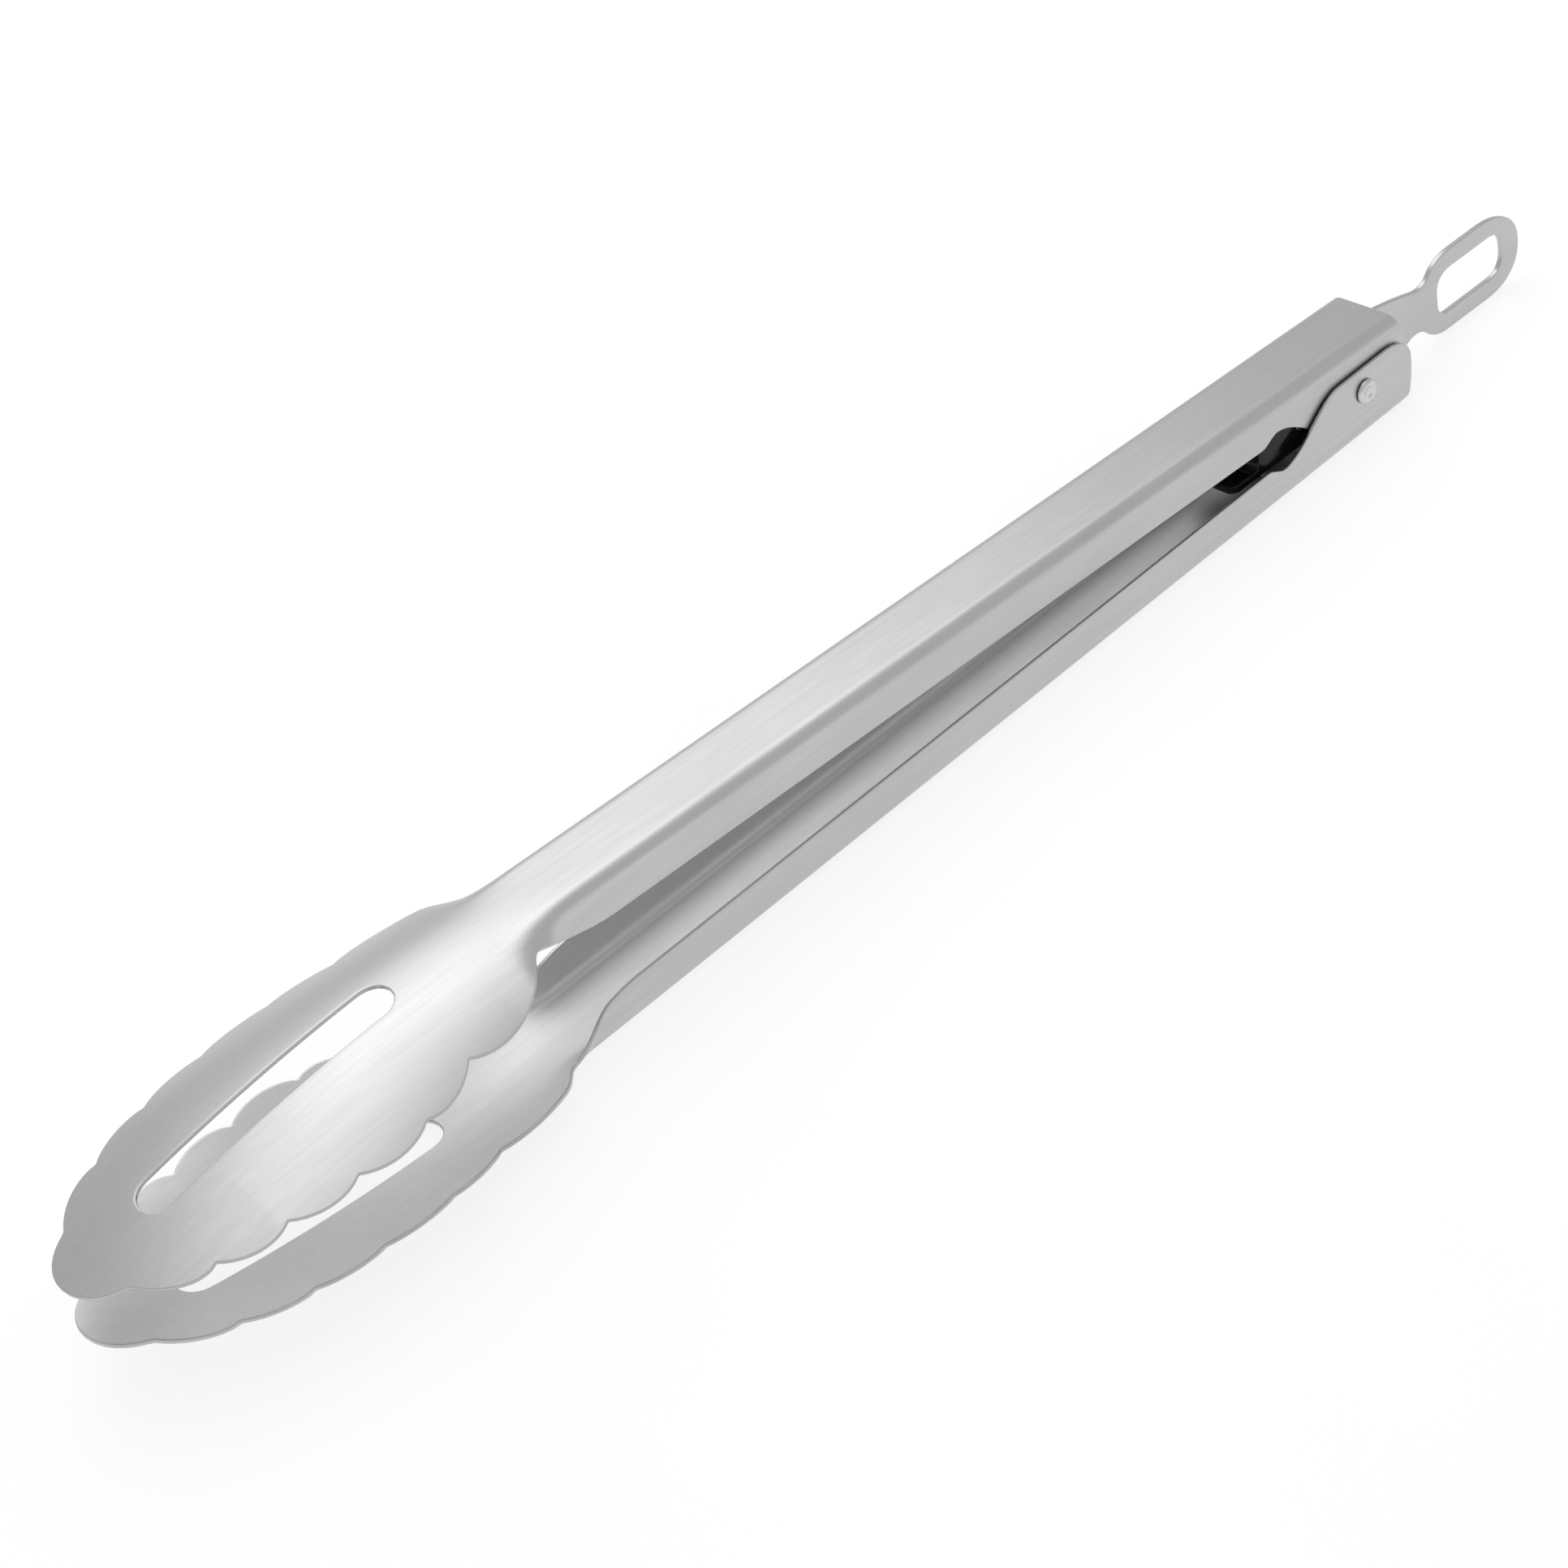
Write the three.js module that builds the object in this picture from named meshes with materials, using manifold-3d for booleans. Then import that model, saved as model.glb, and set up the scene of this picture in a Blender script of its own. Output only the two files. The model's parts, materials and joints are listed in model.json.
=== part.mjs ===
// Locking kitchen tongs: two pressed steel arms on one hinge, sprung open, with a pull loop that locks them shut.
// Millimetres, +Z up, tips towards -X, pull loop towards +X, at rest closed and locked with the loop pulled out.
// The lower arm's web lies on z = 0. Everything is drawn around the hinge, and the last lines move the whole
// model so that its origin is at the middle of its box, on the bottom.
import * as THREE from 'three';
import { mergeVertices } from 'three/addons/utils/BufferGeometryUtils.js';
import Module from 'manifold-3d';

const wasm = await Module();
wasm.setup();

// ---- driving dimensions ----
const HINGE_HEIGHT = 13; // hinge axis above the outside of each arm's web
const OPEN_ANGLE = 0.056; // angle between the arms when the lock holds them shut
const SHEET = 1; // steel sheet of both arms
const BEND = 3.5; // outside radius of the bend between web and side wall
const LOWER_HALF = 12; // half the outside width of the lower arm's channel
const UPPER_HALF = 10.6; // half the outside width of the upper arm, which sits inside the lower one

// Stations along an arm are distances from the hinge, negative towards the tip.
const TIP = -387.4;
const NECK = { start: -247, waist: -271 }; // the side walls taper away between these
const UNFOLD = { head: -277, channel: -256 }; // where the channel opens out into the arched head
const CREST = { start: -275, drop: 16.6 }; // the head's crest curves down to the tip
const ARCH = { tip: 0.0075, neck: 0.0128, from: -350, to: -283 }; // sag per square mm of half width

const OVAL = { centre: -322, length: 65.4, width: 28.7 }; // plan of the head between its scallops
const TIP_LOBE = { centre: -374.8, radius: 12.6 };
const NOTCHES = [-378.7, -363.8, -348.3, -331.6, -313.6, -298.3, NECK.waist];
const NOTCH_TRIM = [2.3, 0, 0, 0, 0, 2.7, 3.2]; // how far each notch is cut inside the oval
const LOBE_RISE = [3, 2.5, 2.2, 2.2, 2.1, 4.2]; // how far each scallop stands out from its notches
const LOBE_ROUNDNESS = 0.8;
const SLOT = { tip: -366.2, neck: -299, half: 5.1 };

const WALL = { depth: 11, recess: 2.3, lug: 19.4 };
const RECESS = { start: -37, end: -31 };
const RAMP_END = -8.5; // the side wall has risen to its full lug height here
const WEB_END = 15.3;
const LUG_NOSE = { reach: 2.8, depth: 13.4, corner: 8.6 };
const LAST_STRAIGHT = 5; // stations behind this one follow the curved end of the lug

const PIN_RADIUS = 2.3;
const BORE_RADIUS = 2.6;
const RIVET = { head: 3.3, height: 1.3, dimple: 1.8, gap: 0.15 };
const SLEEVE = { radius: 3.2, half: 8.8 };

// The lock plate and the slider lie along the line through the hinge that is tilted down towards the loop.
const PLATE = { thickness: 1.5, tilt: 0.026, half: 10.4, front: -7, shoulder: 15 };
const TONGUE = { front: -24.6, half: 3.2 }; // the plate's front, held in the slider
const PLATE_NECK = { half: 5.9 };
const LOOP = { end: 75.9, half: 11.3, bulge: 0.62 };
const LOOP_TOP = { neck: 35.5, start: 48.5, turn: 59.9 }; // its edges above and below the centre line
const LOOP_BOTTOM = { neck: 33.1, start: 46.1, turn: 62.4 };
const LOOP_HOLE = { start: 42.6, end: 69.1, half: 6.1, corners: [6, 5.4, 6, 3.8] };
const PLATE_SLOT = { start: -5.8, end: 20.8, half: 3.5 };

const SLIDER = { front: -46.6, back: -16, half: 8.6, corner: 2.6, bottom: -5.1 };
const TRAY = { rim: -3.1, wall: 1, floor: -4.3, end: -38 }; // the low front of the slider
const BLOCK = { start: -34.6, top: 3.5 }; // its high back, with a groove for the plate's tongue
const GROOVE = { front: -25.4, half: 1.1, floor: -3.6 };
const CROSS_PIN = { at: -20.5, radius: 1.2, bore: 1.5, half: 8.3 };

const SPRING = { wire: 1.2, coil: 4.3, turns: 3, pitch: 1.25, side: 1.95, reach: -30 };
const SPRING_LOW = 2.2; // the lower legs' height, on the lower arm's web
const SPRING_HIGH = 24.3; // the upper legs' height, under the upper arm's web

// ---- colours and finishes ----
const BRUSHED = { color: 0xb9babb, roughness: 0.38, metalness: 1 };
const BRIGHT = { color: 0xc4c5c6, roughness: 0.3, metalness: 1 };
const SPRING_STEEL = { color: 0xa9abad, roughness: 0.3, metalness: 1 };
const NYLON = { color: 0x101011, roughness: 0.25, metalness: 0 };

const lerp = (a, b, t) => a + (b - a) * t;
const clamp01 = (t) => Math.min(1, Math.max(0, t));
const easeEnd = (t) => Math.sin((Math.PI * t) / 2);
const easeStart = (t) => 1 - Math.cos((Math.PI * t) / 2);
const easeBoth = (t) => (1 - Math.cos(Math.PI * t)) / 2;

function smooth(from, to, x) {
  const t = clamp01((x - from) / (to - from));
  return t * t * (3 - 2 * t);
}

// ---- closed geometry and booleans ----
function weld(geometry) {
  const bare = geometry.clone();
  bare.deleteAttribute('normal');
  bare.deleteAttribute('uv');
  return mergeVertices(bare, 1e-4);
}

function toSolid(geometry) {
  const welded = weld(geometry);
  return new wasm.Manifold(new wasm.Mesh({
    numProp: 3,
    vertProperties: new Float32Array(welded.attributes.position.array),
    triVerts: new Uint32Array(welded.index.array),
  }));
}

function toGeometry(solid) {
  const mesh = solid.getMesh();
  const geometry = new THREE.BufferGeometry();
  geometry.setAttribute('position', new THREE.Float32BufferAttribute(mesh.vertProperties, 3));
  geometry.setIndex(new THREE.Uint32BufferAttribute(mesh.triVerts, 1));
  return geometry;
}

function named(name, geometry, finish) {
  const mesh = new THREE.Mesh(geometry, new THREE.MeshStandardMaterial(finish));
  mesh.name = name;
  geometry.computeVertexNormals();
  return mesh;
}

// A round bar along Y, centred on the hinge axis.
function barAlongY(radius, length, sides = 20) {
  return new THREE.CylinderGeometry(radius, radius, length, sides);
}

// ---- the pressed arm ----
// An arm is a flat blank, symmetric about its centre line, folded into a channel and pressed into an arched head.
const foldedLength = (half, depth) => half + depth - BEND * (2 - Math.PI / 2);

function wallDepth(s) {
  const cut = WALL.recess * smooth(RECESS.start, RECESS.end, s);
  const rise = (WALL.lug - WALL.depth + WALL.recess) * smooth(RECESS.end, RAMP_END, s);
  return WALL.depth - cut + rise;
}

function ovalHalf(s) {
  const t = (s - OVAL.centre) / OVAL.length;
  return OVAL.width * Math.sqrt(Math.max(0, 1 - t * t));
}

function tipHalf(s) {
  return Math.sqrt(Math.max(0, TIP_LOBE.radius ** 2 - (s - TIP_LOBE.centre) ** 2));
}

// The half width of the blank at a station, with the head's scallops.
function blankHalf(s, half) {
  if (s <= NOTCHES[0]) {
    return tipHalf(s);
  }
  if (s >= NECK.waist) {
    const waist = ovalHalf(NECK.waist) - NOTCH_TRIM.at(-1);
    const rise = easeEnd(clamp01((s - NECK.waist) / (NECK.start - NECK.waist)));
    return lerp(waist, foldedLength(half, wallDepth(s)), rise);
  }
  const i = NOTCHES.findIndex((notch) => s <= notch) - 1;
  const t = (s - NOTCHES[i]) / (NOTCHES[i + 1] - NOTCHES[i]);
  const bulge = (4 * t * (1 - t)) ** LOBE_ROUNDNESS;
  return ovalHalf(s) - lerp(NOTCH_TRIM[i], NOTCH_TRIM[i + 1], t) + LOBE_RISE[i] * bulge;
}

// Half the width of the slot in the head, with round ends; 0 outside it.
function slotHalf(s) {
  const fromEnd = Math.min(s - SLOT.tip, SLOT.neck - s);
  if (fromEnd <= 0) {
    return 0;
  }
  const inside = Math.max(0, SLOT.half - fromEnd);
  return Math.sqrt(SLOT.half ** 2 - inside ** 2);
}

// The end of the blank behind the hinge: the web stops first and the lug's nose reaches a little further.
function endStation(a, half) {
  const depth = a - foldedLength(half, 0);
  if (depth < LUG_NOSE.depth) {
    return WEB_END + LUG_NOSE.reach * easeEnd(clamp01(depth / LUG_NOSE.depth));
  }
  const t = clamp01((depth - LUG_NOSE.depth) / (WALL.lug - LUG_NOSE.depth));
  return WEB_END + LUG_NOSE.reach - LUG_NOSE.corner * (1 - Math.sqrt(1 - t * t));
}

// Where a point of the blank ends up: x along the arm, y across it, z down from the outside of the web (0 or less).
function foldedPoint(s, a, half) {
  const side = Math.sign(a);
  const reach = Math.abs(a);
  const flat = half - BEND;
  const turn = (reach - flat) / BEND;
  const channel = new THREE.Vector2(reach, 0);
  if (turn > Math.PI / 2) {
    channel.set(half, -BEND - (turn - Math.PI / 2) * BEND);
  } else if (turn > 0) {
    channel.set(flat + BEND * Math.sin(turn), -BEND * (1 - Math.cos(turn)));
  }
  const sag = lerp(ARCH.tip, ARCH.neck, clamp01((s - ARCH.from) / (ARCH.to - ARCH.from)));
  const arch = new THREE.Vector2(reach, -sag * reach * reach);
  const section = arch.lerp(channel, smooth(UNFOLD.head, UNFOLD.channel, s));
  const beyond = Math.max(0, (CREST.start - s) / (CREST.start - TIP));
  return new THREE.Vector3(s, side * section.x, section.y - CREST.drop * beyond * beyond);
}

// The same point on the inside of the sheet.
function insidePoint(s, a, half) {
  const step = 0.02;
  const here = foldedPoint(s, a, half);
  const along = foldedPoint(s + step, a, half).sub(foldedPoint(s - step, a, half));
  const across = foldedPoint(s, a + step, half).sub(foldedPoint(s, a - step, half));
  return here.sub(along.cross(across).normalize().multiplyScalar(SHEET));
}

function spread(from, to, count, ease = (t) => t) {
  return Array.from({ length: count }, (_, i) => lerp(from, to, ease(i / count)));
}

// Stations from the tip to the last straight one. They fall on every notch and on both ends of the slot.
function stations() {
  const list = spread(TIP, NOTCHES[0], 5, easeStart);
  const slotMarks = [SLOT.tip, SLOT.tip + 1, SLOT.tip + 2.6, SLOT.neck - 2.6, SLOT.neck - 1, SLOT.neck];
  for (let i = 0; i + 1 < NOTCHES.length; i += 1) {
    list.push(...spread(NOTCHES[i], NOTCHES[i + 1], i === LOBE_RISE.length - 1 ? 7 : 4, easeBoth));
  }
  list.push(...spread(NECK.waist, NECK.start, 5));
  list.push(...spread(NECK.start, RECESS.start, 4));
  list.push(...spread(RECESS.start, RECESS.end, 3));
  list.push(...spread(RECESS.end, RAMP_END, 5));
  list.push(RAMP_END, LAST_STRAIGHT);
  list.push(...slotMarks);
  list.sort((a, b) => a - b);
  return list.filter((s, i) => i === 0 || slotMarks.includes(s) || s - list[i - 1] > 0.4);
}

// Distances across the blank from its centre line (or the slot's edge) out to its edge.
function columns(s, half) {
  const edge = blankHalf(s, half);
  const webEdge = Math.min(half - BEND, 0.38 * edge);
  const bendEdge = Math.min(half - BEND + (BEND * Math.PI) / 2, 0.66 * edge);
  return [
    ...spread(slotHalf(s), webEdge, 2),
    ...spread(webEdge, bendEdge, 3),
    ...spread(bendEdge, edge, 4, easeEnd),
    edge,
  ];
}

// Each half of the sheet is a grid of points on its outside and one on its inside. Strips along the sheet's edges
// join the two grids.
function pressedArm(half) {
  const rows = stations().map((s) => columns(s, half).map((a) => [s, a]));
  for (const t of [0.3, 0.6, 0.85, 1]) {
    rows.push(columns(LAST_STRAIGHT, half).map((a) => [lerp(LAST_STRAIGHT, endStation(a, half), t), a]));
  }
  const corners = [];
  const triangle = (...points) => {
    points.forEach((p) => corners.push(p.x, p.y, p.z));
  };
  const quad = (p, q, r, u, flip) => {
    if (flip) {
      quad(u, r, q, p, false);
    } else {
      triangle(p, q, r);
      triangle(p, r, u);
    }
  };
  for (const side of [1, -1]) {
    const outer = rows.map((row) => row.map(([s, a]) => foldedPoint(s, side * a, half)));
    const inner = rows.map((row) => row.map(([s, a]) => insidePoint(s, side * a, half)));
    const flip = side < 0;
    const last = rows[0].length - 1;
    for (let i = 0; i + 1 < rows.length; i += 1) {
      for (let j = 0; j < last; j += 1) {
        quad(outer[i][j], outer[i + 1][j], outer[i + 1][j + 1], outer[i][j + 1], flip);
        quad(inner[i][j + 1], inner[i + 1][j + 1], inner[i + 1][j], inner[i][j], flip);
      }
      quad(outer[i][last], outer[i + 1][last], inner[i + 1][last], inner[i][last], flip);
      if (rows[i][0][1] > 0 || rows[i + 1][0][1] > 0) {
        quad(inner[i][0], inner[i + 1][0], outer[i + 1][0], outer[i][0], flip);
      }
    }
    const end = rows.length - 1;
    for (let j = 0; j < last; j += 1) {
      quad(outer[end][j], inner[end][j], inner[end][j + 1], outer[end][j + 1], flip);
    }
  }
  const skin = new THREE.BufferGeometry();
  skin.setAttribute('position', new THREE.Float32BufferAttribute(corners, 3));
  return dropFlatTriangles(mergeVertices(skin, 1e-4));
}

function dropFlatTriangles(geometry) {
  const index = geometry.index.array;
  const kept = [];
  for (let i = 0; i < index.length; i += 3) {
    const [a, b, c] = [index[i], index[i + 1], index[i + 2]];
    if (a !== b && b !== c && c !== a) {
      kept.push(a, b, c);
    }
  }
  geometry.setIndex(kept);
  return geometry;
}

// The arm with its web up and the hinge axis at the origin, bored for the hinge pin.
function boredArm(half) {
  const skin = pressedArm(half).translate(0, 0, HINGE_HEIGHT);
  const bore = toSolid(barAlongY(BORE_RADIUS, 4 * half));
  return toSolid(skin).subtract(bore);
}

function lowerArm() {
  const geometry = toGeometry(boredArm(LOWER_HALF));
  geometry.rotateX(Math.PI); // web down, heads facing each other
  return named('lower_arm', geometry, BRUSHED);
}

function upperArm() {
  return named('upper_arm', toGeometry(boredArm(UPPER_HALF)), BRUSHED);
}

// ---- hinge ----
function hingeRivet() {
  const seat = LOWER_HALF + RIVET.gap;
  const top = seat + RIVET.height;
  const half = [
    new THREE.Vector2(PIN_RADIUS, seat),
    new THREE.Vector2(RIVET.head, seat),
    new THREE.Vector2(RIVET.head, seat + 0.5 * RIVET.height),
    new THREE.Vector2(RIVET.head - 0.5, top - 0.2),
    new THREE.Vector2(RIVET.dimple + 0.6, top),
    new THREE.Vector2(RIVET.dimple, top - 0.1),
    new THREE.Vector2(0.6 * RIVET.dimple, top - 0.5),
    new THREE.Vector2(0, top - 0.6),
  ];
  const below = half.map((p) => new THREE.Vector2(p.x, -p.y)).reverse();
  return named('hinge_rivet', weld(new THREE.LatheGeometry([...below, ...half], 20)), BRIGHT);
}

function hingeSleeve() {
  const profile = [
    new THREE.Vector2(BORE_RADIUS, -SLEEVE.half),
    new THREE.Vector2(SLEEVE.radius, -SLEEVE.half),
    new THREE.Vector2(SLEEVE.radius, SLEEVE.half),
    new THREE.Vector2(BORE_RADIUS, SLEEVE.half),
    new THREE.Vector2(BORE_RADIUS, -SLEEVE.half),
  ];
  return named('hinge_sleeve', weld(new THREE.LatheGeometry(profile, 20)), BRIGHT);
}

// ---- lock plate with its pull loop ----
// The plate's edge on one side of its centre line, from the tongue to the end of the loop.
function halfOutline({ neck, start, turn }) {
  const edge = new THREE.Path();
  edge.moveTo(TONGUE.front, 0);
  edge.lineTo(TONGUE.front, TONGUE.half);
  edge.lineTo(PLATE.front - 5, TONGUE.half);
  edge.quadraticCurveTo(PLATE.front - 1, TONGUE.half, PLATE.front, PLATE.half - 2);
  edge.quadraticCurveTo(PLATE.front + 1, PLATE.half, PLATE.front + 3, PLATE.half);
  edge.lineTo(PLATE.shoulder, PLATE.half);
  edge.quadraticCurveTo(PLATE.shoulder + 9.5, PLATE.half - 1.4, neck - 2, PLATE_NECK.half + 0.45);
  edge.quadraticCurveTo(neck + 2.2, PLATE_NECK.half - 0.6, neck + 4.6, PLATE_NECK.half + 2.2);
  edge.quadraticCurveTo(start - 5.4, LOOP.half, start, LOOP.half);
  edge.lineTo(turn, LOOP.half);
  edge.bezierCurveTo(lerp(turn, LOOP.end, LOOP.bulge), LOOP.half, LOOP.end, LOOP.bulge * LOOP.half, LOOP.end, 0);
  return edge.getPoints(6);
}

function plateOutline() {
  const below = halfOutline(LOOP_BOTTOM).slice(1, -1).map((p) => new THREE.Vector2(p.x, -p.y));
  return [...halfOutline(LOOP_TOP), ...below.reverse()].reverse();
}

// A long hole with one corner radius for each corner, in the order top left, top right, bottom right, bottom left.
function roundedHole(x0, x1, half, [a, b, c, d]) {
  const bow = 0.45; // share of a corner left between a bezier handle and the corner point
  const hole = new THREE.Path();
  hole.moveTo(x0, half - a);
  hole.bezierCurveTo(x0, half - bow * a, x0 + bow * a, half, x0 + a, half);
  hole.lineTo(x1 - b, half);
  hole.bezierCurveTo(x1 - bow * b, half, x1, half - bow * b, x1, half - b);
  hole.lineTo(x1, c - half);
  hole.bezierCurveTo(x1, bow * c - half, x1 - bow * c, -half, x1 - c, -half);
  hole.lineTo(x0 + d, -half);
  hole.bezierCurveTo(x0 + bow * d, -half, x0, bow * d - half, x0, d - half);
  hole.closePath();
  return hole;
}

function lockPlate() {
  const shape = new THREE.Shape(plateOutline());
  shape.holes.push(roundedHole(LOOP_HOLE.start, LOOP_HOLE.end, LOOP_HOLE.half, LOOP_HOLE.corners));
  const slotCorners = Array(4).fill(PLATE_SLOT.half);
  shape.holes.push(roundedHole(PLATE_SLOT.start, PLATE_SLOT.end, PLATE_SLOT.half, slotCorners));
  shape.holes.push(new THREE.Path().absarc(CROSS_PIN.at, 0, CROSS_PIN.bore, 0, 2 * Math.PI, true));
  const plate = new THREE.ExtrudeGeometry(shape, { depth: PLATE.thickness, bevelEnabled: false, curveSegments: 6 });
  plate.translate(0, 0, -PLATE.thickness / 2);
  plate.rotateX(Math.PI / 2);
  return named('lock_plate', weld(plate), BRIGHT);
}

// ---- nylon slider that carries the plate: a low tray in front and a high block behind ----
function sliderPlan(inset, back, bottom, top) {
  const front = SLIDER.front + inset;
  const half = SLIDER.half - inset;
  const corner = SLIDER.corner - inset;
  const shape = new THREE.Shape();
  shape.moveTo(back, -half);
  shape.lineTo(back, half);
  shape.lineTo(front + corner, half);
  shape.absarc(front + corner, half - corner, corner, Math.PI / 2, Math.PI, false);
  shape.lineTo(front, corner - half);
  shape.absarc(front + corner, corner - half, corner, Math.PI, 1.5 * Math.PI, false);
  const options = { depth: top - bottom, bevelEnabled: false, curveSegments: 5 };
  return toSolid(new THREE.ExtrudeGeometry(shape, options).translate(0, 0, bottom));
}

// The space above the slider, seen from the side: low over the tray and rising in a curve to the block's top.
function spaceAbove() {
  const shape = new THREE.Shape();
  shape.moveTo(SLIDER.front - 1, TRAY.rim);
  shape.lineTo(TRAY.end, TRAY.rim);
  shape.bezierCurveTo(TRAY.end + 2, TRAY.rim, BLOCK.start - 2, BLOCK.top, BLOCK.start, BLOCK.top);
  shape.lineTo(BLOCK.start, BLOCK.top + 1);
  shape.lineTo(SLIDER.front - 1, BLOCK.top + 1);
  const options = { depth: 4 * SLIDER.half, bevelEnabled: false, curveSegments: 6 };
  const block = new THREE.ExtrudeGeometry(shape, options).translate(0, 0, -2 * SLIDER.half);
  return toSolid(block.rotateX(Math.PI / 2));
}

function boxSolid(x0, x1, half, z0, z1) {
  const box = new THREE.BoxGeometry(x1 - x0, 2 * half, z1 - z0);
  return toSolid(box.translate((x0 + x1) / 2, 0, (z0 + z1) / 2));
}

function lockSlider() {
  const body = sliderPlan(0, SLIDER.back, SLIDER.bottom, BLOCK.top).subtract(spaceAbove());
  const recess = sliderPlan(TRAY.wall, TRAY.end, TRAY.floor, BLOCK.top);
  const groove = boxSolid(GROOVE.front, SLIDER.back + 1, GROOVE.half, GROOVE.floor, BLOCK.top + 1);
  const bore = toSolid(barAlongY(CROSS_PIN.bore, 4 * SLIDER.half, 16).translate(CROSS_PIN.at, 0, 0));
  return named('lock_slider', toGeometry(body.subtract(recess).subtract(groove).subtract(bore)), NYLON);
}

function crossPin() {
  const pin = barAlongY(CROSS_PIN.radius, 2 * CROSS_PIN.half, 16).translate(CROSS_PIN.at, 0, 0);
  return named('slider_pin', weld(pin), BRIGHT);
}

// ---- torsion springs around the sleeve, one on each side of the lock plate ----
// The legs reach forward: the lower one to the lower arm's web, the upper one to the upper arm's web.
class SpringWire extends THREE.Curve {
  constructor(side) {
    super();
    this.side = side;
    this.legShare = 0.2;
    this.low = this.tangentAngle(SPRING_LOW - HINGE_HEIGHT, -1);
    this.high = this.tangentAngle(SPRING_HIGH - HINGE_HEIGHT, 1);
  }

  // The angle on the coil from which a straight leg leaves for its end at the given height.
  tangentAngle(height, sign) {
    const reach = Math.hypot(SPRING.reach, height);
    return Math.atan2(height, SPRING.reach) - sign * Math.acos(SPRING.coil / reach);
  }

  coilPoint(turn) {
    const angle = lerp(this.low, this.high + 2 * Math.PI * SPRING.turns, turn);
    const y = this.side * (SPRING.side + turn * SPRING.turns * SPRING.pitch);
    return new THREE.Vector3(SPRING.coil * Math.cos(angle), y, SPRING.coil * Math.sin(angle));
  }

  getPoint(t, target = new THREE.Vector3()) {
    const end = this.legShare;
    if (t < end) {
      const low = new THREE.Vector3(SPRING.reach, this.coilPoint(0).y, SPRING_LOW - HINGE_HEIGHT);
      return target.copy(low).lerp(this.coilPoint(0), t / end);
    }
    if (t > 1 - end) {
      const high = new THREE.Vector3(SPRING.reach, this.coilPoint(1).y, SPRING_HIGH - HINGE_HEIGHT);
      return target.copy(this.coilPoint(1)).lerp(high, (t - 1 + end) / end);
    }
    return target.copy(this.coilPoint((t - end) / (1 - 2 * end)));
  }
}

function torsionSpring(name, side) {
  const wire = new THREE.Shape().absarc(0, 0, SPRING.wire / 2, 0, 2 * Math.PI, false);
  const options = { steps: 64, extrudePath: new SpringWire(side), curveSegments: 4, bevelEnabled: false };
  return named(name, weld(new THREE.ExtrudeGeometry(wire, options)), SPRING_STEEL);
}

// ---- assembly ----
const hinge = new THREE.Group();
hinge.position.z = HINGE_HEIGHT;
hinge.add(lowerArm(), hingeRivet(), hingeSleeve());
hinge.add(torsionSpring('spring_left', 1), torsionSpring('spring_right', -1));

const raised = new THREE.Group();
raised.rotation.y = OPEN_ANGLE;
raised.add(upperArm());
hinge.add(raised);

const slide = new THREE.Group();
slide.rotation.y = PLATE.tilt;
slide.add(lockPlate(), lockSlider(), crossPin());
hinge.add(slide);

const tongs = new THREE.Group();
tongs.add(hinge);

const box = new THREE.Box3().setFromObject(tongs, true);
tongs.position.x = -(box.min.x + box.max.x) / 2;
tongs.updateMatrixWorld(true);

export default tongs;
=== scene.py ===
import json
import math

import bmesh
import bpy
import numpy as np
from mathutils import Matrix, Vector


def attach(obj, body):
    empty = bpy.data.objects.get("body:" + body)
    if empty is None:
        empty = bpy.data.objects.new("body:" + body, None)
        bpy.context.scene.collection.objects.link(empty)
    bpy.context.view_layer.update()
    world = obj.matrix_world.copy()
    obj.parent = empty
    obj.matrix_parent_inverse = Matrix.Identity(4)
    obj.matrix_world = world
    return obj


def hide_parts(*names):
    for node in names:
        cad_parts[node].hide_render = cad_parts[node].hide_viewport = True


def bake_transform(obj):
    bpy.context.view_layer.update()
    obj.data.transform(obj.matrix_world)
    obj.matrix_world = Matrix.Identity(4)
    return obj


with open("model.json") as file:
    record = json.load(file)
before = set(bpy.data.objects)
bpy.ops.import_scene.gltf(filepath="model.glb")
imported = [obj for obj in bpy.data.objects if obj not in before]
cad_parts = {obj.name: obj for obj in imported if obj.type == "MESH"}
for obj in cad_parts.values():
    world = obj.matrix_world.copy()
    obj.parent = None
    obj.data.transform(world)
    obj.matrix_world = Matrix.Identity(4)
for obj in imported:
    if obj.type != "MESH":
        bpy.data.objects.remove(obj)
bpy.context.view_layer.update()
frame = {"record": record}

# Locking kitchen tongs: the finished surfaces of every piece, the light and the camera.
# Lengths are in metres. Stations along an arm are distances from the hinge, negative towards the tip.

# ---- the arms' shape ----
OPEN_ANGLE = 0.056          # between the arms while the lock holds them shut
SHEET = 0.001               # steel sheet of both arms
EDGE = 0.0003               # rounding along the sheet's cut edges
BEND = 0.0035               # outside radius between web and side wall
LOWER_HALF = 0.012          # half the outside width of each arm's channel
UPPER_HALF = 0.0106

TIP = -0.3874
NECK_START, NECK_WAIST = -0.247, -0.271
UNFOLD_HEAD, UNFOLD_CHANNEL = -0.277, -0.256
CREST_START, CREST_DROP = -0.275, 0.0166
ARCH_TIP, ARCH_NECK = 7.5, 12.8      # sag per square metre of half width
ARCH_FROM, ARCH_TO = -0.350, -0.283

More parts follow.
